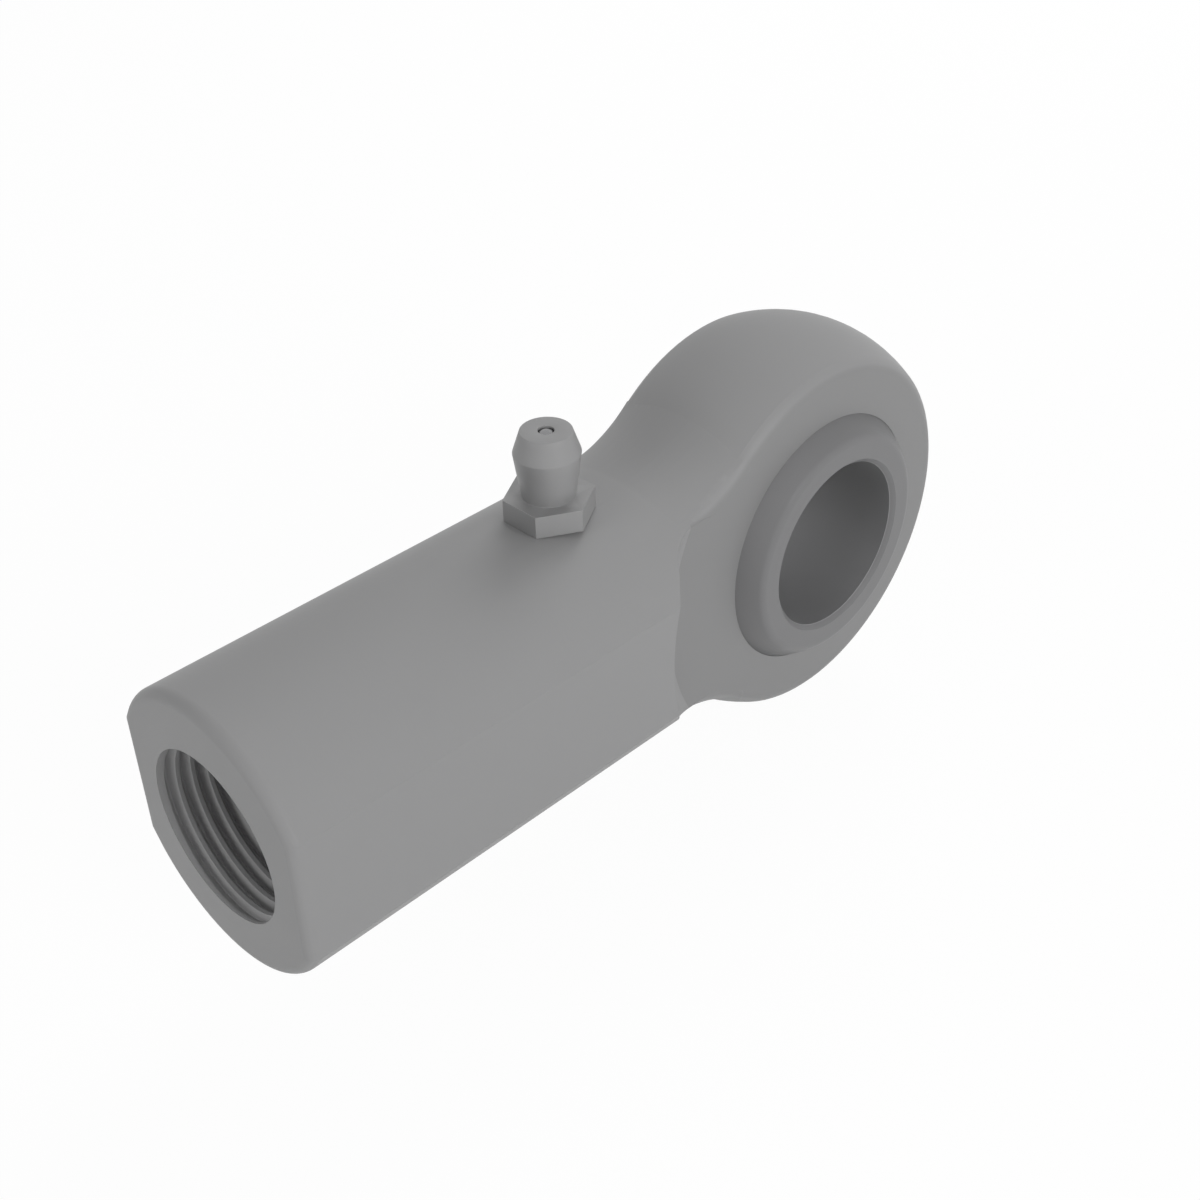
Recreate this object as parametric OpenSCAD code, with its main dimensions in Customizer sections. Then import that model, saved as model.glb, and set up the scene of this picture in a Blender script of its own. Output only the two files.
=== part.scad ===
// Female rod end: a shank bored and tapped for a rod, an eye that holds a swivelling ball, and a grease nipple.
// Origin at the centre of the ball. X runs along the shank to its tapped end, Y along the ball's bore,
// Z up through the grease nipple. Lengths are millimetres.

/* [Ball] */
// Diameter of the ball's spherical outside
ball_d = 33.32; // [32:0.02:34.5]
// Width of the ball between its flat faces
ball_w = 22.225; // [20:0.005:24]
// Diameter of the bore that takes the pin
pin_bore_d = 19.05; // [16:0.01:20]
// Chamfer at each end of the pin bore
pin_bore_chamfer = 0.5; // [0.2:0.05:1]
// Rounding between the ball's sphere and its flat faces
ball_face_round = 1.2; // [0.4:0.1:1.6]
// Radial running clearance between the ball and its seat
seat_clearance = 0.04; // [0.02:0.01:0.1]

/* [Eye] */
// Outside diameter of the eye at its middle
eye_d = 44.4; // [42:0.1:50]
// Width of the eye between its faces
eye_w = 17.45; // [14:0.05:19]
// Radius of the eye's crown, seen in a section along the bore
crown_r = 16.8; // [15:0.1:24]
// Rounding of the eye's outer edges
eye_edge_r = 1.78; // [0.8:0.02:2.2]
// Width of the grease groove turned inside the seat
groove_w = 2.6; // [1.5:0.1:4]
// Depth of the grease groove
groove_depth = 0.9; // [0.4:0.1:1.5]

/* [Shank] */
// Distance from the ball's centre to the end of the shank
shank_end = 73.025; // [62:0.005:95]
// Diameter of the round shank
shank_d = 28.65; // [27:0.05:32]
// Width across the two wrench flats
flats_w = 23.95; // [22:0.05:26]
// Rounding of the shank's end, round the arcs and along the flats
end_edge_r = 1.15; // [0.5:0.05:2]
// Radius of the blend that flares the shank into the eye
neck_r = 20; // [14:0.5:26]
// Distance from the bore's axis at which the eye's side recess ends on the flats
recess_r = 27; // [25:0.1:30]
// Radius in the corner of that recess
recess_corner_r = 3.175; // [1:0.005:4]

/* [Tapped bore] */
// Diameter of the tapping bore, which is the thread's minor diameter
tap_bore_d = 17.4625; // [14:0.0005:19]
// Depth of the tapping bore to its shoulder
tap_bore_depth = 31.75; // [20:0.05:34]
// Included angle of the drill points
drill_point = 118; // [90:1:140]

/* [Grease nipple] */
// Distance of the nipple from the ball's centre along the shank
nipple_x = 31.75; // [30.5:0.05:33]
// Depth of the spot face that the nipple seats on
spot_depth = 0.15; // [0.1:0.05:0.5]
// Diameter of the tapped hole for the nipple
nipple_hole_d = 5.5; // [5:0.1:6]
// Depth of that hole below the spot face
nipple_hole_depth = 15.2; // [12:0.1:17]
// Radial play of the nipple's stem in its hole
stem_play = 0.02; // [0.01:0.01:0.1]
// Length of the nipple's stem
stem_len = 5.1; // [4:0.1:7]
// Width across the flats of the nipple's hexagon
hex_w = 7.94; // [7:0.02:9]
// Height of the hexagon
hex_h = 2.35; // [1.8:0.05:3]
// Diameter of the waist where it leaves the hexagon
waist_d = 5.34; // [5:0.02:6]
// Largest diameter of the coupling head
head_d = 6.6; // [6.2:0.05:7]
// Diameter of the head's flat top
top_d = 5.06; // [4.6:0.02:5.6]
// Height of the head's largest diameter above the seat
head_z = 6.95; // [6:0.05:8]
// Height of the head's flat top above the seat
top_z = 9.25; // [8.5:0.05:10.5]
// Diameter of the drilled chamber inside the nipple
chamber_d = 3; // [2.7:0.1:3.4]
// Diameter of the inlet in the flat top
inlet_d = 1.6; // [1.4:0.05:2.1]
// Length of the inlet
inlet_len = 0.3; // [0.2:0.05:1]
// Diameter of the hole through the lip that holds the spring
lip_d = 1.8; // [1.4:0.1:2]
// Thickness of that lip
lip_t = 0.6; // [0.4:0.1:1]

/* [Check valve] */
// Diameter of the check ball
check_d = 2.38; // [2.2:0.02:2.6]
// Mean diameter of the spring's coils
coil_d = 1.8; // [1.6:0.05:2]
// Diameter of the spring's wire
wire_d = 0.3; // [0.2:0.02:0.4]
// Number of turns in the spring
turns = 8; // [5:1:10]
// Clearance left between pieces that touch only lightly
light_gap = 0.02; // [0.01:0.01:0.05]

/* [Grease duct] */
// Diameter of the duct from the nipple's hole to the seat
duct_d = 2.5; // [2:0.1:3]
// Angle between the duct and the shank, seen from above
duct_angle = 15; // [12:1:18]

/* [Hidden] */
$fn = 128;

// Eye: the crown's centre, and the centre of the circle that rounds its outer edge
half_w = eye_w / 2;
crown_c = eye_d / 2 - crown_r;
edge_y = half_w - eye_edge_r;
edge_x = crown_c + sqrt(pow(crown_r - eye_edge_r, 2) - pow(edge_y, 2));
edge_angle = atan2(edge_y, edge_x - crown_c);

// Ball and seat
ball_r = ball_d / 2;
seat_r = ball_r + seat_clearance;
face_c_y = ball_w / 2 - ball_face_round;
face_c_r = sqrt(pow(ball_r - ball_face_round, 2) - pow(face_c_y, 2));

// Neck: a ball of radius neck_r rolls in the corner between shank and eye. Its centre passes
// through (roll_x0, roll_z0) in the middle plane and (roll_x1, roll_z1) beside the eye's face.
// That path is an arc to within a few hundredths, so the blend is one torus, tilted a little.
shank_r = shank_d / 2;
roll_z0 = shank_r + neck_r;
roll_x0 = sqrt(pow(eye_d / 2 + neck_r, 2) - pow(roll_z0, 2));
side_angle = asin(half_w / shank_r);
roll_y1 = roll_z0 * sin(side_angle);
roll_z1 = roll_z0 * cos(side_angle);
roll_d1 = crown_c + sqrt(pow(crown_r + neck_r, 2) - pow(roll_y1, 2));
roll_x1 = sqrt(pow(roll_d1, 2) - pow(roll_z1, 2));
roll_tilt = atan2(roll_x0 - roll_x1, roll_z0 - roll_z1);
roll_drop = norm([roll_x0 - roll_x1, roll_z0 - roll_z1]);
roll_major = (pow(roll_y1, 2) + pow(roll_drop, 2)) / (2 * roll_drop);
bite = 0.03;

// Contact lines of that rolling ball, as points (x, z): on the eye and on the shank
eye_contact0 = [roll_x0, roll_z0] * (eye_d / 2) / (eye_d / 2 + neck_r);
eye_contact1 = [roll_x1, roll_z1] / roll_d1
    * (crown_c + (roll_d1 - crown_c) * crown_r / (crown_r + neck_r));
shank_contact0 = [roll_x0, shank_r];
shank_contact1 = [roll_x1, shank_r * cos(side_angle)];

// The neck's edge in the plane of the eye's face is an arc that touches the eye and the shank there
face_eye_r = crown_c + sqrt(pow(crown_r, 2) - pow(half_w, 2));
face_shank_z = shank_r * cos(side_angle);
face_angle = atan2(roll_z1, roll_x1);
face_arc_r = (face_eye_r * sin(face_angle) - face_shank_z) / (1 - sin(face_angle));
face_arc_c = [(face_eye_r + face_arc_r) * cos(face_angle), face_shank_z + face_arc_r];
face_slope = (asin(half_w / crown_r) + side_angle) / 2;

// Nipple: heights above the ball's centre
seat_z = shank_r - spot_depth;
hex_corner_r = hex_w / 2 / cos(30);
stem_r = nipple_hole_d / 2 - stem_play;
check_r = check_d / 2;
inlet_z = seat_z + top_z - inlet_len;
check_z = inlet_z - sqrt(pow(check_r, 2) - pow(inlet_d / 2, 2)) - light_gap;
lip_z = seat_z - stem_len + lip_t;
coil_r = coil_d / 2;
wire_r = wire_d / 2;
spring_top = check_z - sqrt(pow(check_r + wire_r + light_gap, 2) - pow(coil_r, 2));
spring_bottom = lip_z + wire_r + light_gap;

// Half section of the eye, radius across and width up, with its outer edges rounded
module eye_profile() {
    difference() {
        intersection() {
            translate([crown_c, 0]) circle(crown_r);
            translate([0, -half_w]) square([eye_d, eye_w]);
        }
        for (side = [-1, 1]) scale([1, side]) edge_corner([edge_x, edge_y], edge_angle, eye_edge_r);
    }
}

// The sharp corner beyond a rounding: a wedge from the centre, less its circle.
// One side of the wedge points along +Y and the other at an angle above +X.
module edge_corner(centre, angle, r) {
    far = 3 * r;
    difference() {
        polygon([
            centre,
            centre + far * [cos(angle), sin(angle)],
            centre + far * [cos(angle) + 1, sin(angle) + 1],
            centre + far * [0, 1]
        ]);
        translate(centre) circle(r);
    }
}

module eye_blank() {
    rotate([90, 0, 0]) rotate_extrude() eye_profile();
}

// Round bar with two flats and a rounded end
module shank_blank() {
    start = eye_contact1[0];
    intersection() {
        rotate([0, 90, 0]) rotate_extrude() difference() {
            translate([0, start]) square([shank_r, shank_end - start]);
            edge_corner([shank_r - end_edge_r, shank_end - end_edge_r], 0, end_edge_r);
        }
        translate([0, 0, -shank_d]) linear_extrude(2 * shank_d) difference() {
            translate([start - 1, -flats_w / 2]) square([shank_end + 1 - start, flats_w]);
            for (side = [-1, 1]) scale([1, side]) {
                edge_corner([shank_end - end_edge_r, flats_w / 2 - end_edge_r], 0, end_edge_r);
            }
        }
    }
}

// Upper blend between eye and shank: a wedge of metal with the rolling ball's torus cut out of it
module neck_blend() {
    inward = 3;
    difference() {
        rotate([90, 0, 0]) translate([0, 0, -half_w]) linear_extrude(eye_w) polygon([
            eye_contact0,
            eye_contact1 + inward * (eye_contact1 - eye_contact0),
            shank_contact1 + inward * (shank_contact1 - shank_contact0),
            shank_contact0
        ]);
        translate([roll_x0 - roll_major * sin(roll_tilt), 0, roll_z0 - roll_major * cos(roll_tilt)])
            rotate([0, 90 + roll_tilt, 0]) rotate_extrude() translate([roll_major, 0])
                circle(neck_r + bite);
        for (side = [-1, 1]) scale([1, side, 1]) neck_edge();
    }
}

// Rounds the blend's edge at the eye's face, to carry on the eye's own rounding
module neck_edge() {
    centre_r = face_arc_r + eye_edge_r * tan((90 - face_slope) / 2);
    translate([face_arc_c[0], 0, face_arc_c[1]]) rotate([-90, 0, 0])
        rotate_extrude() edge_corner([centre_r, edge_y], 180 - face_slope, eye_edge_r);
}

// Cutter for the recess beside the eye, turned about the bore's axis
module side_recess() {
    deep = flats_w;
    rotate([-90, 0, 0]) rotate_extrude() difference() {
        translate([0, half_w]) square([recess_r, deep]);
        difference() {
            translate([recess_r - recess_corner_r, half_w]) square(recess_corner_r);
            translate([recess_r - recess_corner_r, half_w + recess_corner_r]) circle(recess_corner_r);
        }
    }
}

// Drilled hole along +Z from its mouth at the origin down to a pointed end
module drilled_hole(d, depth, above) {
    point = d / 2 / tan(drill_point / 2);
    rotate_extrude() polygon([[0, above], [d / 2, above], [d / 2, -depth], [0, -depth - point]]);
}

module ball_seat() {
    sphere(seat_r);
    rotate([90, 0, 0]) translate([0, 0, -groove_w / 2]) cylinder(h = groove_w, r = seat_r + groove_depth);
}

// Duct from the groove to the nipple's hole, drilled through the open eye before the ball goes in
module grease_duct() {
    start = seat_r - 1;
    length = nipple_x + nipple_hole_d / 2 - start;
    translate([start, groove_w / 2, 0]) rotate([0, 0, -duct_angle]) rotate([0, 90, 0])
        cylinder(h = length, d = duct_d);
}

module rod_end_body() {
    color([0.58, 0.58, 0.58]) difference() {
        union() {
            eye_blank();
            difference() {
                union() {
                    shank_blank();
                    neck_blend();
                    scale([1, 1, -1]) neck_blend();
                }
                for (side = [-1, 1]) scale([1, side, 1]) side_recess();
            }
        }
        ball_seat();
        translate([shank_end, 0, 0]) rotate([0, 90, 0]) drilled_hole(tap_bore_d, tap_bore_depth, 1);
        translate([nipple_x, 0, seat_z]) {
            drilled_hole(nipple_hole_d, nipple_hole_depth, 1);
            cylinder(h = 1, d = 2 * hex_corner_r + 0.1);
        }
        grease_duct();
    }
}

// Inner ring: a ball with two flat faces and a bore
module ball() {
    color([0.55, 0.55, 0.56]) rotate([90, 0, 0]) rotate_extrude() difference() {
        intersection() {
            circle(ball_r);
            translate([pin_bore_d / 2, -ball_w / 2]) square([ball_r, ball_w]);
        }
        for (side = [-1, 1]) scale([1, side]) {
            edge_corner([face_c_r, face_c_y], atan2(face_c_y, face_c_r), ball_face_round);
            translate([pin_bore_d / 2, ball_w / 2]) rotate(45)
                square(sqrt(2) * pin_bore_chamfer, center = true);
        }
    }
}

// Nipple turned from hexagon bar, drilled from below and lipped in at the foot over the spring
module nipple_body() {
    color([0.56, 0.56, 0.56]) translate([nipple_x, 0, seat_z]) difference() {
        union() {
            linear_extrude(hex_h) rotate(30) circle(r = hex_corner_r, $fn = 6);
            rotate_extrude() polygon([
                [0, -stem_len], [stem_r, -stem_len], [stem_r, hex_h / 2], [waist_d / 2, hex_h / 2],
                [waist_d / 2, hex_h], [head_d / 2, head_z], [top_d / 2, top_z], [0, top_z]
            ]);
        }
        rotate_extrude() polygon([
            [0, -stem_len - 1], [lip_d / 2, -stem_len - 1], [lip_d / 2, lip_t - stem_len],
            [chamber_d / 2, lip_t - stem_len], [chamber_d / 2, top_z - inlet_len],
            [inlet_d / 2, top_z - inlet_len], [inlet_d / 2, top_z + 1], [0, top_z + 1]
        ]);
    }
}

module check_ball() {
    color([0.6, 0.6, 0.6]) translate([nipple_x, 0, check_z]) sphere(check_r);
}

// Coil spring as a closed tube along a helix, with a half turn almost flat at each end
module check_spring() {
    sides = 8;
    per_turn = 16;
    steps = turns * per_turn;
    rise = spring_top - spring_bottom;
    function lift(k) = let (t = k / steps) rise * t;
    function ring(k) = let (a = 360 * k / per_turn)
        [for (s = [0 : sides - 1]) let (b = 360 * s / sides) [
            (coil_r + wire_r * cos(b)) * cos(a),
            (coil_r + wire_r * cos(b)) * sin(a),
            lift(k) + wire_r * sin(b)
        ]];
    points = [for (k = [0 : steps]) each ring(k)];
    walls = [for (k = [0 : steps - 1], s = [0 : sides - 1]) let (n = (s + 1) % sides)
        [k * sides + s, (k + 1) * sides + s, (k + 1) * sides + n, k * sides + n]];
    start_cap = [for (s = [0 : sides - 1]) s];
    end_cap = [for (s = [sides - 1 : -1 : 0]) steps * sides + s];
    color([0.5, 0.5, 0.52]) translate([nipple_x, 0, spring_bottom])
        polyhedron(points, concat(walls, [start_cap, end_cap]));
}

rod_end_body();
ball();
nipple_body();
check_ball();
check_spring();
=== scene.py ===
import math
import bmesh
import bpy
import numpy as np
from mathutils import Matrix, Vector


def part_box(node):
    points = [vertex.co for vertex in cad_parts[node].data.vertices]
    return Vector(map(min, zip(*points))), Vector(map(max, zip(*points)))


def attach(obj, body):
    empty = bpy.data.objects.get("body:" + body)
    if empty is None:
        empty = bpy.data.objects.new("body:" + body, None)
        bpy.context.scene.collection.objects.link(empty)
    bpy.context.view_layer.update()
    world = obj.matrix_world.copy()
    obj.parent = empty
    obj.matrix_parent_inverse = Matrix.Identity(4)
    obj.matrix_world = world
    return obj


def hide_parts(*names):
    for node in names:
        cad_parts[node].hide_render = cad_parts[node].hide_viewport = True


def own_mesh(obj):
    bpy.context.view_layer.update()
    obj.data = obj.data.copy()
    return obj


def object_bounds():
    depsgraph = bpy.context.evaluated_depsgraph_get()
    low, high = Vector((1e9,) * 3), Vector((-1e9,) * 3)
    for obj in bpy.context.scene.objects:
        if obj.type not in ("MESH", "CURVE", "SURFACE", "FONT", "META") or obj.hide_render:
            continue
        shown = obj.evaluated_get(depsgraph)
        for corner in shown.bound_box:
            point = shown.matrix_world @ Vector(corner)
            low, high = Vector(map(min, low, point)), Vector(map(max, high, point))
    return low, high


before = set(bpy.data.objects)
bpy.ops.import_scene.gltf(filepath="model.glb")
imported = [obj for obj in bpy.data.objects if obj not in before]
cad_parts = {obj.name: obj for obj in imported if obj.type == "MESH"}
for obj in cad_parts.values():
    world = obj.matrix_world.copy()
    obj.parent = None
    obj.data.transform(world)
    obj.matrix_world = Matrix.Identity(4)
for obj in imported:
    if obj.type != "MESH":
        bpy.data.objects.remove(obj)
solid_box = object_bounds()

# Rod end body. A carbon steel forging, turned and milled all over and left bright: the eye is crowned,
# the side recesses are turned about the ball's bore, and the shank has two milled flats.
# Its surface shows the fine lines of the cutting tools under a satin, blasted grain.
mm = 0.001
body_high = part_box("rod_end_body")[1]
shank_end = body_high.x
solid_flat_y = body_high.y
shank_radius = 14.325 * mm
rim_round = 1.15 * mm
eye_face_y = 8.725 * mm
recess_radius = 27.0 * mm
recess_corner_radius = 3.175 * mm
broken_edge = 0.1 * mm
body_grey = (0.285, 0.285, 0.287, 1)
side_facing = 0.97
end_facing = 0.9
# Painted shade: the eye's side faces round the ball are darkened in colour, standing in for the shade that
# falls there round the ball.
eye_face_painted_shade = 0.864
eye_face_fade = (8.4 * mm, 8.7 * mm)
eye_face_past = 9.0 * mm
eye_face_reach = 24.0 * mm
# Painted light: the tapped bore's colour is lightened, standing in for light that bounces round inside the
# bore.
tapped_bore_painted_light = 1.58
tapped_reach = 9.7 * mm
tapped_from = 30 * mm
tapped_to = shank_end - 0.03 * mm


def merged_copy(node, name):
    """The node's solid as one closed mesh, which shades smoothly up to its real edges."""
    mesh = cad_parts[node].data.copy()
    mesh.name = name
    mesh.materials.clear()
    shape = bmesh.new()
    shape.from_mesh(mesh)
    bmesh.ops.remove_doubles(shape, verts=shape.verts, dist=1e-7)
    shape.to_mesh(mesh)
    shape.free()
    piece = bpy.data.objects.new(name, mesh)
    bpy.context.scene.collection.objects.link(piece)
    return piece


def apply_modifiers(piece):
    """Makes the piece's evaluated shape its own plain mesh."""
    depsgraph = bpy.context.evaluated_depsgraph_get()
    mesh = bpy.data.meshes.new_from_object(piece.evaluated_get(depsgraph))
    piece.modifiers.clear()
    piece.data = mesh


def smooth_to_edges(piece, edge_angle=24):
    """Smooth shading, with every fold sharper than edge_angle degrees kept as a crisp edge."""
    shape = bmesh.new()
    shape.from_mesh(piece.data)
    for face in shape.faces:
        face.smooth = True
    for edge in shape.edges:
        if len(edge.link_faces) == 2:
            edge.smooth = edge.calc_face_angle() < math.radians(edge_angle)
    shape.to_mesh(piece.data)
    shape.free()
    level = piece.modifiers.new("level_faces", "WEIGHTED_NORMAL")
    level.keep_sharp = True
    level.weight = 80
    apply_modifiers(piece)


def break_edges(piece, width):
    """Takes the burr off every real edge, as a deburring wheel does."""
    broken = piece.modifiers.new("broken_edges", "BEVEL")
    broken.limit_method = "ANGLE"
    broken.angle_limit = math.radians(25)
    broken.width = width
    broken.segments = 2
    broken.use_clamp_overlap = True
    apply_modifiers(piece)


def dress(piece, material, body, node):
    """Gives a finished piece its material and its place in the frame, where it stands for a node."""
    piece.data.materials.clear()
    piece.data.materials.append(material)
    piece.data.polygons.foreach_set("material_index", [0] * len(piece.data.polygons))
    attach(piece, body)
    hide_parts(node)


class Graph:
    """A node tree with short ways to add a node, a sum and a link."""

    def __init__(self, tree):
        self.tree = tree

    def node(self, kind, **settings):
        made = self.tree.nodes.new(kind)
        for key, value in settings.items():
            setattr(made, key, value)
        return made

    def feed(self, socket, value):
        if isinstance(value, bpy.types.NodeSocket):
            self.tree.links.new(value, socket)
        else:
            socket.default_value = value

    def math(self, operation, *values, clamp=False):
        made = self.node("ShaderNodeMath", operation=operation, use_clamp=clamp)
        for socket, value in zip(made.inputs, values):
            self.feed(socket, value)
        return made.outputs[0]

    def parts(self, vector):
        """The x, y and z of a vector."""
        made = self.node("ShaderNodeSeparateXYZ")
        self.feed(made.inputs[0], vector)
        return made.outputs

    def distance(self, a, b):
        """How far from an axis the point lies that is a to one side of it and b to the other."""
        squares = self.math("ADD", self.math("POWER", a, 2.0), self.math("POWER", b, 2.0))
        return self.math("SQRT", squares)

    def band(self, value, low, high):
        """0 below low, 1 above high, and a soft step between."""
        made = self.node("ShaderNodeMapRange", interpolation_type="SMOOTHSTEP")
        for name, number in (("Value", value), ("From Min", low), ("From Max", high)):
            self.feed(made.inputs[name], number)
        return made.outputs["Result"]

    def pick(self, factor, first, second):
        """first where the factor is 0, second where it is 1."""
        made = self.node("ShaderNodeMix", data_type="FLOAT")
        self.feed(made.inputs["Factor"], factor)
        self.feed(made.inputs["A"], first)
        self.feed(made.inputs["B"], second)
        return made.outputs["Result"]

    def noise(self, scale, detail, dimensions, **place):
        """Noise about 0, from -0.5 to 0.5, at the place given as Vector or W."""
        made = self.node("ShaderNodeTexNoise", noise_dimensions=dimensions)
        self.feed(made.inputs["Detail"], detail)
        self.feed(made.inputs["Scale"], scale)
        for name, value in place.items():
            self.feed(made.inputs[name], value)
        return self.math("SUBTRACT", made.outputs["Fac"], 0.5)


def group_tree(name, kind, inputs, outputs):
    """A node group with named sockets, each given as (name, type, default)."""
    tree = bpy.data.node_groups.new(name, kind)
    for label, socket_type, default in inputs:
        made = tree.interface.new_socket(label, in_out="INPUT", socket_type=socket_type)
        if default is not None:
            made.default_value = default
    for label, socket_type in outputs:
        tree.interface.new_socket(label, in_out="OUTPUT", socket_type=socket_type)
    return tree, tree.nodes.new("NodeGroupInput"), tree.nodes.new("NodeGroupOutput")


# Tool marks shared by every steel surface here: lines across a coordinate, a fine grain and a faint mottle
mottle_per_metre = 160.0
marks_on_tone = 0.10
mottle_on_tone = 0.05
marks_on_roughness = 0.22
mottle_on_roughness = 0.12

worked_steel, given, result = group_tree(
    "worked_steel", "ShaderNodeTree",
    [
        ("Place", "NodeSocketVector", None),
        ("Line coordinate", "NodeSocketFloat", 0.0),
        ("Lines per mm", "NodeSocketFloat", 6.0),
        ("Line strength", "NodeSocketFloat", 0.5),
        ("Grain per mm", "NodeSocketFloat", 5.0),
        ("Grain strength", "NodeSocketFloat", 0.5),
        ("Colour", "NodeSocketColor", (0.28, 0.28, 0.28, 1)),
        ("Painted light and shade", "NodeSocketFloat", 1.0),
        ("Roughness", "NodeSocketFloat", 0.5),
    ],
    [("Colour", "NodeSocketColor"), ("Roughness", "NodeSocketFloat"), ("Height", "NodeSocketFloat")],
)
g = Graph(worked_steel)
lines_per_metre = g.math("MULTIPLY", given.outputs["Lines per mm"], 1000.0)
lines = g.noise(lines_per_metre, 2.0, "1D", W=given.outputs["Line coordinate"])
lines = g.math("MULTIPLY", lines, given.outputs["Line strength"])
grain_per_metre = g.math("MULTIPLY", given.outputs["Grain per mm"], 1000.0)
grain = g.noise(grain_per_metre, 2.0, "3D", Vector=given.outputs["Place"])
grain = g.math("MULTIPLY", grain, given.outputs["Grain strength"])
mottle = g.noise(mottle_per_metre, 3.0, "3D", Vector=given.outputs["Place"])
marks = g.math("ADD", lines, grain)
tone = g.math("MULTIPLY_ADD", marks, marks_on_tone, 1.0)
tone = g.math("MULTIPLY_ADD", mottle, mottle_on_tone, tone)
# The colour is also scaled by the painted light and shade given to the group.
tone = g.math("MULTIPLY", tone, given.outputs["Painted light and shade"])
tinted = g.node("ShaderNodeVectorMath", operation="SCALE")
g.feed(tinted.inputs[0], given.outputs["Colour"])
g.feed(tinted.inputs["Scale"], tone)
g.feed(result.inputs["Colour"], tinted.outputs[0])
rough = g.math("MULTIPLY_ADD", marks, marks_on_roughness, given.outputs["Roughness"])
rough = g.math("MULTIPLY_ADD", mottle, mottle_on_roughness, rough, clamp=True)
g.feed(result.inputs["Roughness"], rough)
g.feed(result.inputs["Height"], marks)


def steel_material(name, colour, roughness, metallic, bump, marks, coordinate, tone=None):
    """A steel with the shared tool marks, bump metres deep. coordinate(graph, place) gives the value that
    the lines follow, and tone(graph, place) the painted light and shade: how much lighter or darker the
    colour is made where light or shade falls on the piece."""
    material = bpy.data.materials.new(name)
    material.use_nodes = True
    graph = Graph(material.node_tree)
    shader = material.node_tree.nodes["Principled BSDF"]
    place = graph.node("ShaderNodeTexCoord").outputs["Object"]
    group = graph.node("ShaderNodeGroup", node_tree=worked_steel)
    graph.feed(group.inputs["Place"], place)
    graph.feed(group.inputs["Line coordinate"], coordinate(graph, place))
    graph.feed(group.inputs["Colour"], colour)
    graph.feed(group.inputs["Roughness"], roughness)
    for key, value in marks.items():
        graph.feed(group.inputs[key], value)
    # Painted light and shade: this factor lightens or darkens the colour where light or shade falls on the
    # piece.
    if tone:
        graph.feed(group.inputs["Painted light and shade"], tone(graph, place))
    relief = graph.node("ShaderNodeBump")
    relief.inputs["Strength"].default_value = 1.0
    relief.inputs["Distance"].default_value = bump
    graph.feed(relief.inputs["Height"], group.outputs["Height"])
    graph.feed(shader.inputs["Base Color"], group.outputs["Colour"])
    graph.feed(shader.inputs["Roughness"], group.outputs["Roughness"])
    graph.feed(shader.inputs["Normal"], relief.outputs["Normal"])
    shader.inputs["Metallic"].default_value = metallic
    return material


def body_lines(graph, place):
    """Lines round the ball's bore on the eye's faces, round the rod on the end face and on the shank's
    round sides, and along the flats."""
    x, y, z = graph.parts(place)
    facing = graph.parts(graph.node("ShaderNodeTexCoord").outputs["Normal"])
    on_shank = graph.math("GREATER_THAN", x, recess_radius)
    on_side = graph.math("GREATER_THAN", graph.math("ABSOLUTE", facing["Y"]), side_facing)
    on_end = graph.math("GREATER_THAN", facing["X"], end_facing)
    shank = graph.pick(on_side, x, z)
    eye = graph.pick(on_side, y, graph.distance(x, z))
    return graph.pick(on_end, graph.pick(on_shank, eye, shank), graph.distance(y, z))


def body_painted_light_and_shade(graph, place):
    """Painted shade darkens the eye's side faces round the ball, and painted light lightens the tapped bore.
    """
    x, y, z = graph.parts(place)
    out = graph.math("ABSOLUTE", y)
    on_face = graph.math("LESS_THAN", graph.distance(x, z), eye_face_reach)
    on_face = graph.math("MULTIPLY", on_face, graph.math("LESS_THAN", out, eye_face_past))
    on_face = graph.math("MULTIPLY", on_face, graph.band(out, *eye_face_fade))
    in_bore = graph.math("LESS_THAN", graph.distance(y, z), tapped_reach)
    in_bore = graph.math("MULTIPLY", in_bore, graph.math("GREATER_THAN", x, tapped_from))
    in_bore = graph.math("MULTIPLY", in_bore, graph.math("LESS_THAN", x, tapped_to))
    return graph.pick(in_bore, graph.pick(on_face, 1.0, eye_face_painted_shade), tapped_bore_painted_light)


body_steel = steel_material(
    "body_steel", body_grey, roughness=0.58, metallic=0.35, bump=0.004 * mm,
    marks={"Lines per mm": 5.0, "Line strength": 0.5, "Grain per mm": 4.5, "Grain strength": 0.5},
    coordinate=body_lines, tone=body_painted_light_and_shade,
)
rod_end = merged_copy("rod_end_body", "rod_end")

# The real shank is fuller across its flats than the solid. Each flat moves outward: its long edges
# and its rounded end slide round the shank, and the upright wall of the eye's recess grows with it.
# That wall also leans away from the eye, as a cone about the ball's bore.
flat_outward = 0.7 * mm
cone_radius = 27.69 * mm
cone_slope = 0.51
cone_from = 11.05 * mm
wall_from_x = 15 * mm
wall_near = 0.02 * mm
flat_near = 0.0015 * mm


def cone_at(out):
    """Distance of the leaning wall from the ball's bore, at this distance from the middle plane."""
    return cone_radius - cone_slope * (solid_flat_y + flat_outward - out)


def recess_at(out):
    """The same distance on the solid, whose wall is upright above a round corner."""
    rise = min(out - (eye_face_y + recess_corner_radius), 0)
    corner = math.sqrt(max(recess_corner_radius ** 2 - rise * rise, 0))
    return recess_radius - recess_corner_radius + corner


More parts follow.
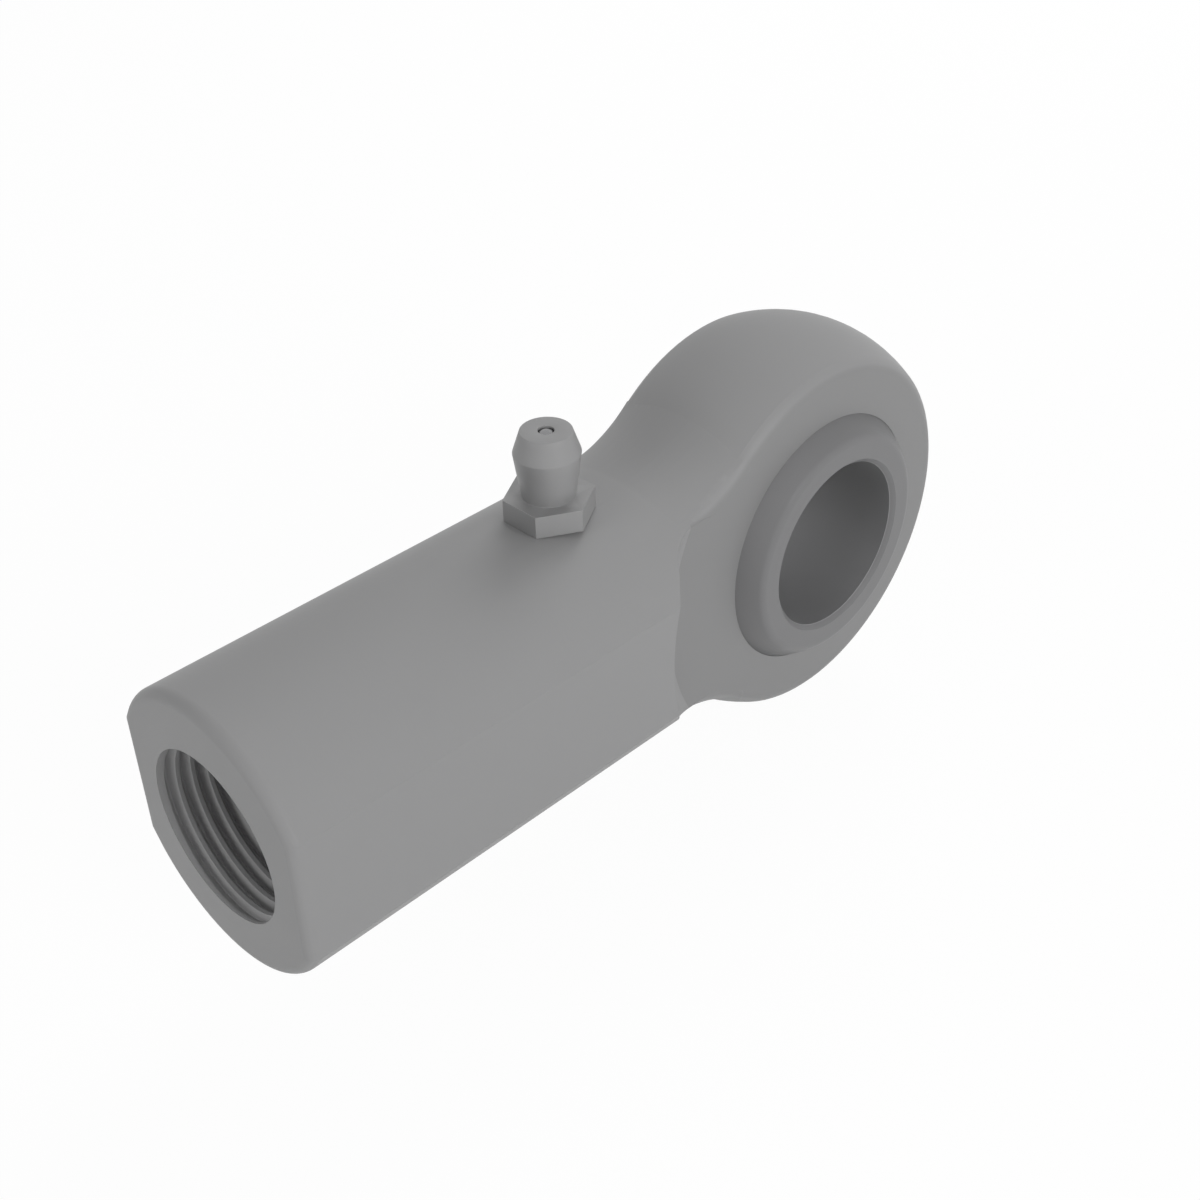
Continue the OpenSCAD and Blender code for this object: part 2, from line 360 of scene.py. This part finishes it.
shape = bmesh.new()
shape.from_mesh(rod_end.data)
for vert in shape.verts:
    x, y, z = vert.co
    out = abs(y)
    past_x = x - (shank_end - rim_round)
    past_y = out - (solid_flat_y - rim_round)
    on_flat = past_x <= 0 and out > solid_flat_y - flat_near
    on_rim = past_x > 0 and past_y > -flat_near and math.hypot(past_x, past_y) > rim_round - flat_near
    on_wall = out > cone_from and x > wall_from_x and abs(math.hypot(x, z) - recess_at(out)) < wall_near
    if on_flat or on_rim:
        out += flat_outward
        if on_wall:
            edge = min(abs(z), math.sqrt(shank_radius ** 2 - out * out))
        else:
            edge = math.sqrt(y * y + z * z - out * out)
        y, z = math.copysign(out, y), math.copysign(edge, z)
    if on_wall:
        x = math.sqrt(cone_at(out) ** 2 - z * z)
    vert.co = (x, y, z)
shape.to_mesh(rod_end.data)
shape.free()
break_edges(rod_end, broken_edge)

# Thread in the shank: 3/4 inch, 16 turns to the inch, right hand, cut with a bottoming tap.
# The tap stops short of the bore's shoulder, and its lead leaves the mouth's edge clean.
thread_pitch = 25.4 / 16 * mm
crest_radius = 8.741 * mm
groove_depth = 0.82 * mm
crest_share = 0.25
flank_share = 0.3125
thread_from = 44.5 * mm
thread_to = shank_end - 0.35 * mm
lead = 0.9 * mm
cutter_end = shank_end + 1.0 * mm
steps_a_turn = 96
points_across = 17
weld_distance = 0.0005 * mm

thread_tree, given, result = group_tree(
    "cut_thread", "GeometryNodeTree",
    [
        ("Pitch", "NodeSocketFloat", 1.0),
        ("Crest radius", "NodeSocketFloat", 1.0),
        ("Groove depth", "NodeSocketFloat", 0.1),
        ("From", "NodeSocketFloat", 0.0),
        ("To", "NodeSocketFloat", 1.0),
        ("Lead", "NodeSocketFloat", 0.1),
        ("Cutter end", "NodeSocketFloat", 1.0),
        ("Turns", "NodeSocketFloat", 1.0),
        ("Steps", "NodeSocketInt", 97),
        ("Material", "NodeSocketMaterial", None),
    ],
    [("Mesh", "NodeSocketGeometry")],
)


def coat(graph, geometry, given, result):
    """Ends a tree: its instances are made real and given the material."""
    real = graph.node("GeometryNodeRealizeInstances")
    graph.feed(real.inputs["Geometry"], geometry)
    coated = graph.node("GeometryNodeSetMaterial")
    graph.feed(coated.inputs["Geometry"], real.outputs["Geometry"])
    graph.feed(coated.inputs["Material"], given.outputs["Material"])
    graph.feed(result.inputs["Mesh"], coated.outputs["Geometry"])


def grown(name, tree, values):
    """An object whose mesh a geometry node tree makes from these named values."""
    piece = bpy.data.objects.new(name, bpy.data.meshes.new(name))
    bpy.context.scene.collection.objects.link(piece)
    modifier = piece.modifiers.new(tree.name, "NODES")
    modifier.node_group = tree
    for item in tree.interface.items_tree:
        if item.in_out == "INPUT" and item.name in values:
            modifier[item.identifier] = values[item.name]
    apply_modifiers(piece)
    return piece


# The strip is one turn's profile wide, and it is wound round the axis as often as the thread turns
g = Graph(thread_tree)
strip = g.node("GeometryNodeMeshGrid")
strip.inputs["Vertices Y"].default_value = points_across
g.feed(strip.inputs["Vertices X"], given.outputs["Steps"])
g.feed(strip.inputs["Size X"], 1.0)
g.feed(strip.inputs["Size Y"], 1.0)
spot = g.parts(g.node("GeometryNodeInputPosition").outputs[0])
along = g.math("ADD", spot["X"], 0.5)
across = g.math("ADD", spot["Y"], 0.5)
turned = g.math("MULTIPLY", along, given.outputs["Turns"])
advance = g.math("ADD", turned, g.math("SUBTRACT", across, 1.0))
advance = g.math("MULTIPLY", advance, given.outputs["Pitch"])
x = g.math("ADD", advance, given.outputs["From"])
x = g.math("MINIMUM", g.math("MAXIMUM", x, given.outputs["From"]), given.outputs["Cutter end"])
rise = g.math("DIVIDE", g.math("SUBTRACT", across, crest_share), flank_share)
fall = g.math("DIVIDE", g.math("SUBTRACT", 1.0, across), flank_share)
groove = g.math("MINIMUM", g.math("MINIMUM", rise, fall), 1.0, clamp=True)
lead_in = g.math("SUBTRACT", x, given.outputs["From"])
lead_in = g.math("DIVIDE", lead_in, given.outputs["Lead"], clamp=True)
lead_out = g.math("SUBTRACT", given.outputs["To"], x)
lead_out = g.math("DIVIDE", lead_out, given.outputs["Lead"], clamp=True)
groove = g.math("MULTIPLY", groove, g.math("MULTIPLY", lead_in, lead_out))
radius = g.math("MULTIPLY_ADD", groove, given.outputs["Groove depth"], given.outputs["Crest radius"])
angle = g.math("MULTIPLY", turned, 2 * math.pi)
wound = g.node("ShaderNodeCombineXYZ")
g.feed(wound.inputs["X"], x)
g.feed(wound.inputs["Y"], g.math("MULTIPLY", radius, g.math("COSINE", angle)))
g.feed(wound.inputs["Z"], g.math("MULTIPLY", radius, g.math("SINE", angle)))
placed = g.node("GeometryNodeSetPosition")
g.feed(placed.inputs["Geometry"], strip.outputs["Mesh"])
g.feed(placed.inputs["Position"], wound.outputs[0])
welded = g.node("GeometryNodeMergeByDistance")
welded.inputs["Distance"].default_value = weld_distance
g.feed(welded.inputs["Geometry"], placed.outputs["Geometry"])
coat(g, welded.outputs["Geometry"], given, result)

turns = math.ceil((cutter_end - thread_from) / thread_pitch) + 1
tap = grown("tap", thread_tree, {
    "Pitch": thread_pitch, "Crest radius": crest_radius, "Groove depth": groove_depth,
    "From": thread_from, "To": thread_to, "Lead": lead, "Cutter end": cutter_end,
    "Turns": float(turns), "Steps": steps_a_turn * turns + 1, "Material": body_steel,
})
shape = bmesh.new()
shape.from_mesh(tap.data)
bmesh.ops.dissolve_degenerate(shape, edges=shape.edges, dist=1e-8)
bmesh.ops.holes_fill(shape, edges=[e for e in shape.edges if e.is_boundary], sides=0)
bmesh.ops.recalc_face_normals(shape, faces=shape.faces)
shape.to_mesh(tap.data)
shape.free()
tapping = rod_end.modifiers.new("tapping", "BOOLEAN")
tapping.operation = "DIFFERENCE"
tapping.solver = "EXACT"
tapping.object = tap
apply_modifiers(rod_end)
rod_end.modifiers.clear()
bpy.data.objects.remove(tap)
smooth_to_edges(rod_end)
dress(rod_end, body_steel, "rod_end", "rod_end_body")

# Ball. Hardened bearing steel: the sphere is ground and lapped, its two faces are turned flat,
# and its bore is honed for the pin. It is held by the seat that is pressed round it.
ball_radius = 16.66 * mm
ball_half_width = 22.225 / 2 * mm
pin_radius = 9.525 * mm
pin_chamfer = 0.5 * mm
face_round = 1.2 * mm
ball_segments = 192
face_round_steps = 8
sphere_steps = 36
# Painted shade and light: ball_grey is the ball's own darker steel with painted shade added, as it shows on
# the sphere's band in the corner by the housing; the faces are a little lighter than the band, and the bore
# is lightened as painted light.
ball_grey = (0.176, 0.176, 0.179, 1)
ball_face_over_band_shade = 1.08
ball_bore_painted_light = 1.58
ball_face_skin = 0.01 * mm
ball_face_fade = (ball_half_width - 0.5 * mm, ball_half_width)
ball_bore_reach = pin_radius + 0.05 * mm


def arc(centre, radius, start, end, steps):
    """Points on a circle from one angle to another, in degrees."""
    angles = np.radians(np.linspace(start, end, steps + 1))
    return [(centre[0] + radius * math.cos(a), centre[1] + radius * math.sin(a)) for a in angles]


def turned_ring(name, profile, segments):
    """A closed profile of points (out from the bore's axis, along it), turned round that axis."""
    shape = bmesh.new()
    rings = []
    for out, along in profile:
        ring = []
        for k in range(segments):
            a = 2 * math.pi * k / segments
            ring.append(shape.verts.new((out * math.cos(a), along, out * math.sin(a))))
        rings.append(ring)
    for low, high in zip(rings, rings[1:] + rings[:1]):
        for k in range(segments):
            n = (k + 1) % segments
            shape.faces.new((low[k], low[n], high[n], high[k]))
    bmesh.ops.recalc_face_normals(shape, faces=shape.faces)
    mesh = bpy.data.meshes.new(name)
    shape.to_mesh(mesh)
    shape.free()
    piece = bpy.data.objects.new(name, mesh)
    bpy.context.scene.collection.objects.link(piece)
    return piece


round_y = ball_half_width - face_round
round_r = math.sqrt((ball_radius - face_round) ** 2 - round_y ** 2)
round_angle = math.degrees(math.atan2(round_y, round_r))
upper = [(pin_radius, ball_half_width - pin_chamfer), (pin_radius + pin_chamfer, ball_half_width)]
upper += arc((round_r, round_y), face_round, 90, round_angle, face_round_steps)
upper += arc((0, 0), ball_radius, round_angle, 0, sphere_steps)[1:]
lower = [(r, -h) for r, h in reversed(upper[:-1])]
inner_ring = turned_ring("inner_ring", upper + lower, ball_segments)
smooth_to_edges(inner_ring)


def ball_lines(graph, place):
    """Turned rings on the flat faces, and honing marks along the bore."""
    x, y, z = graph.parts(place)
    on_face = graph.math("GREATER_THAN", graph.math("ABSOLUTE", y), ball_half_width - ball_face_skin)
    return graph.pick(on_face, y, graph.distance(x, z))


def ball_painted_light_and_shade(graph, place):
    """The sphere's band carries painted shade and is the darkest, the turned faces are lighter, and the bore
    carries painted light and is the lightest.
    """
    x, y, z = graph.parts(place)
    on_face = graph.band(graph.math("ABSOLUTE", y), *ball_face_fade)
    in_bore = graph.math("LESS_THAN", graph.distance(x, z), ball_bore_reach)
    return graph.pick(in_bore, graph.pick(on_face, 1.0, ball_face_over_band_shade), ball_bore_painted_light)


ball_steel = steel_material(
    "ball_steel", ball_grey, roughness=0.5, metallic=0.4, bump=0.003 * mm,
    marks={"Lines per mm": 7.0, "Line strength": 0.5, "Grain per mm": 9.0, "Grain strength": 0.25},
    coordinate=ball_lines, tone=ball_painted_light_and_shade,
)
dress(inner_ring, ball_steel, "inner_ring", "ball")

# Grease nipple. Turned from hexagon bar in free-cutting steel, plated, and screwed down into the shank.
# The head widens to the edge that the grease gun's jaws grip, and tapers to a flat top with the inlet.
nipple_x = 31.75 * mm
nipple_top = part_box("nipple_body")[1].z
nipple_top_skin = 0.01 * mm
nipple_broken_edge = 0.06 * mm
nipple_grey = (0.285, 0.285, 0.287, 1)


def nipple_lines(graph, place):
    """Turned rings: they follow the height on the sides and the distance from the axis on top."""
    x, y, z = graph.parts(place)
    from_axis = graph.distance(graph.math("SUBTRACT", x, nipple_x), y)
    on_top = graph.math("GREATER_THAN", z, nipple_top - nipple_top_skin)
    return graph.pick(on_top, z, from_axis)


nipple_steel = steel_material(
    "nipple_steel", nipple_grey, roughness=0.5, metallic=0.35, bump=0.003 * mm,
    marks={"Lines per mm": 9.0, "Line strength": 0.5, "Grain per mm": 9.0, "Grain strength": 0.3},
    coordinate=nipple_lines,
)
nipple = merged_copy("nipple_body", "nipple")
break_edges(nipple, nipple_broken_edge)
smooth_to_edges(nipple)
dress(nipple, nipple_steel, "rod_end", "nipple_body")

# Check ball. A hardened and polished bearing ball inside the nipple's head.
# The spring holds it up against the inlet, and the grease pushes it down.
check_grey = (0.25, 0.25, 0.255, 1)
check_steel = steel_material(
    "check_ball_steel", check_grey, roughness=0.25, metallic=0.9, bump=0.001 * mm,
    marks={"Lines per mm": 9.0, "Line strength": 0.1, "Grain per mm": 12.0, "Grain strength": 0.3},
    coordinate=nipple_lines,
)
check_ball = merged_copy("check_ball", "check_valve_ball")
smooth_to_edges(check_ball, edge_angle=40)
dress(check_ball, check_steel, "check_valve", "check_ball")

# Check spring. Music wire, coiled on a mandrel with its end turns closed flat.
# It stands on the lip at the nipple's foot and carries the check ball.
wire_radius = 0.15 * mm
coil_radius = 0.9 * mm
spring_turns = 8
steps_a_coil = 32
wire_sides = 12
closed_turn_rise = 2.04
wire_grey = (0.22, 0.22, 0.225, 1)
spring_low, spring_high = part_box("check_spring")

spring_tree, given, result = group_tree(
    "coil_spring", "GeometryNodeTree",
    [
        ("Axis X", "NodeSocketFloat", 0.0),
        ("Bottom", "NodeSocketFloat", 0.0),
        ("Top", "NodeSocketFloat", 1.0),
        ("Turns", "NodeSocketFloat", 8.0),
        ("Coil radius", "NodeSocketFloat", 1.0),
        ("Wire radius", "NodeSocketFloat", 0.1),
        ("Points", "NodeSocketInt", 257),
        ("Material", "NodeSocketMaterial", None),
    ],
    [("Mesh", "NodeSocketGeometry")],
)
g = Graph(spring_tree)
line = g.node("GeometryNodeMeshLine", mode="OFFSET", count_mode="TOTAL")
g.feed(line.inputs["Count"], given.outputs["Points"])
index = g.node("GeometryNodeInputIndex").outputs[0]
share = g.math("DIVIDE", index, g.math("SUBTRACT", given.outputs["Points"], 1.0))
turned = g.math("MULTIPLY", share, given.outputs["Turns"])
# The first and the last turn rise by little more than the wire, and the free turns share the rest evenly
wire = g.math("MULTIPLY", given.outputs["Wire radius"], closed_turn_rise)
travel = g.math("SUBTRACT", given.outputs["Top"], given.outputs["Bottom"])
free_rise = g.math("SUBTRACT", travel, g.math("MULTIPLY", wire, 2.0))
free_turns = g.math("SUBTRACT", given.outputs["Turns"], 2.0)
first_rise = g.math("MULTIPLY", g.math("MINIMUM", turned, 1.0), wire)
last_from = g.math("SUBTRACT", given.outputs["Turns"], 1.0)
last_rise = g.math("MAXIMUM", g.math("SUBTRACT", turned, last_from), 0.0)
last_rise = g.math("MULTIPLY", last_rise, wire)
middle_rise = g.math("DIVIDE", g.math("SUBTRACT", turned, 1.0), free_turns, clamp=True)
middle_rise = g.math("MULTIPLY", middle_rise, free_rise)
z = g.math("ADD", g.math("ADD", first_rise, last_rise), g.math("ADD", middle_rise, given.outputs["Bottom"]))
angle = g.math("MULTIPLY", turned, 2 * math.pi)
around_x = g.math("MULTIPLY", given.outputs["Coil radius"], g.math("COSINE", angle))
around_y = g.math("MULTIPLY", given.outputs["Coil radius"], g.math("SINE", angle))
wound = g.node("ShaderNodeCombineXYZ")
g.feed(wound.inputs["X"], g.math("ADD", around_x, given.outputs["Axis X"]))
g.feed(wound.inputs["Y"], around_y)
g.feed(wound.inputs["Z"], z)
placed = g.node("GeometryNodeSetPosition")
g.feed(placed.inputs["Geometry"], line.outputs["Mesh"])
g.feed(placed.inputs["Position"], wound.outputs[0])
path = g.node("GeometryNodeMeshToCurve")
g.feed(path.inputs["Mesh"], placed.outputs["Geometry"])
section = g.node("GeometryNodeCurvePrimitiveCircle", mode="RADIUS")
section.inputs["Resolution"].default_value = wire_sides
g.feed(section.inputs["Radius"], given.outputs["Wire radius"])
drawn = g.node("GeometryNodeCurveToMesh")
g.feed(drawn.inputs["Curve"], path.outputs["Curve"])
g.feed(drawn.inputs["Profile Curve"], section.outputs["Curve"])
drawn.inputs["Fill Caps"].default_value = True
coat(g, drawn.outputs["Mesh"], given, result)

spring_steel = steel_material(
    "spring_steel", wire_grey, roughness=0.35, metallic=0.8, bump=0.002 * mm,
    marks={"Lines per mm": 20.0, "Line strength": 0.3, "Grain per mm": 15.0, "Grain strength": 0.3},
    coordinate=nipple_lines,
)
spring = grown("check_valve_spring", spring_tree, {
    "Axis X": nipple_x, "Bottom": spring_low.z + wire_radius, "Top": spring_high.z - wire_radius,
    "Turns": float(spring_turns), "Coil radius": coil_radius, "Wire radius": wire_radius,
    "Points": steps_a_coil * spring_turns + 1, "Material": spring_steel,
})
smooth_to_edges(spring, edge_angle=40)
dress(spring, spring_steel, "rod_end", "check_spring")
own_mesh(spring)

# Photographer's table: a white sheet under three soft round lamps, and the camera at the photograph's angle.
# The sheet and the room look white to the camera and in reflections, but the room itself gives little light.
floor_z = solid_box[0][2] - 0.02 * mm
floor_half = 1.5
paper_grey = (0.8, 0.8, 0.8, 1)
paper_glow = 0.965
room_light = 0.20
lamp_aim = Vector((30 * mm, 0, 0))
lamp_distance = 0.6
lamp_width = 0.28
# Each lamp: its azimuth and elevation in degrees, and its power in watts
lamps = {
    "side": (90, 25, 2.45),
    "front": (0, 24, 0.81),
    "rear": (206, 36, 1.89),
}


def shown_or_lit(graph):
    """1 for rays that see the backdrop directly or mirrored, 0 for the ones that only carry its light."""
    path = graph.node("ShaderNodeLightPath")
    seen = graph.math("MAXIMUM", path.outputs["Is Camera Ray"], path.outputs["Is Glossy Ray"])
    return graph.math("MAXIMUM", seen, path.outputs["Is Transmission Ray"])


room = bpy.data.worlds.new("studio")
room.use_nodes = True
bpy.context.scene.world = room
g = Graph(room.node_tree)
walls = room.node_tree.nodes["Background"]
walls.inputs["Color"].default_value = (1, 1, 1, 1)
g.feed(walls.inputs["Strength"], g.pick(shown_or_lit(g), room_light, 1.0))

paper = bpy.data.materials.new("white_paper")
paper.use_nodes = True
g = Graph(paper.node_tree)
lit = paper.node_tree.nodes["Principled BSDF"]
lit.inputs["Base Color"].default_value = paper_grey
lit.inputs["Roughness"].default_value = 0.9
lit.inputs["Specular IOR Level"].default_value = 0.0
glow = g.node("ShaderNodeEmission")
white = g.node("ShaderNodeMixShader")
g.feed(white.inputs["Fac"], g.math("MULTIPLY", shown_or_lit(g), paper_glow))
g.feed(white.inputs[1], lit.outputs["BSDF"])
g.feed(white.inputs[2], glow.outputs["Emission"])
g.feed(paper.node_tree.nodes["Material Output"].inputs["Surface"], white.outputs["Shader"])
shape = bmesh.new()
at_floor = Matrix.Translation((0, 0, floor_z))
bmesh.ops.create_grid(shape, x_segments=1, y_segments=1, size=floor_half, matrix=at_floor)
sheet_mesh = bpy.data.meshes.new("floor")
shape.to_mesh(sheet_mesh)
shape.free()
floor = bpy.data.objects.new("floor", sheet_mesh)
bpy.context.scene.collection.objects.link(floor)
floor.data.materials.append(paper)

for name, (azimuth, elevation, power) in lamps.items():
    data = bpy.data.lights.new(name, "AREA")
    data.shape = "DISK"
    data.size = lamp_width
    data.energy = power
    lamp = bpy.data.objects.new(name, data)
    bpy.context.scene.collection.objects.link(lamp)
    a, e = math.radians(azimuth), math.radians(elevation)
    towards = Vector((math.cos(e) * math.cos(a), math.cos(e) * math.sin(a), math.sin(e)))
    lamp.location = lamp_aim + towards * lamp_distance
    lamp.rotation_euler = towards.to_track_quat("Z", "Y").to_euler()
    lamp.visible_camera = False
    lamp.visible_glossy = False

# The camera faces the ball's centre from this distance, turned by three angles in degrees. It stands aside
# by two shifts, so that the centre shows to the right of the picture's middle and above it.
picture_px = 1200
focal_px = 1680.0
sensor = 36
yaw, tilt, roll = (math.radians(a) for a in (45.969, 35.629, -1.599))
shift_right, shift_up, distance = 17.957 * mm, 10.293 * mm, 187.991 * mm
back = Vector((math.cos(tilt) * math.cos(yaw), math.cos(tilt) * math.sin(yaw), math.sin(tilt)))
right = Vector((-math.sin(yaw), math.cos(yaw), 0))
up = back.cross(right)
c, s = math.cos(roll), math.sin(roll)
right, up = c * right + s * up, -s * right + c * up
camera_data = bpy.data.cameras.new("camera")
camera_data.sensor_width = sensor
camera_data.lens = sensor * focal_px / picture_px
camera_data.clip_start = 0.01
camera_data.clip_end = 10
camera = bpy.data.objects.new("camera", camera_data)
bpy.context.scene.collection.objects.link(camera)
place = back * distance - right * shift_right - up * shift_up
camera.matrix_world = Matrix.Translation(place) @ Matrix((right, up, back)).transposed().to_4x4()
bpy.context.scene.camera = camera
bpy.context.scene.view_settings.view_transform = "Standard"
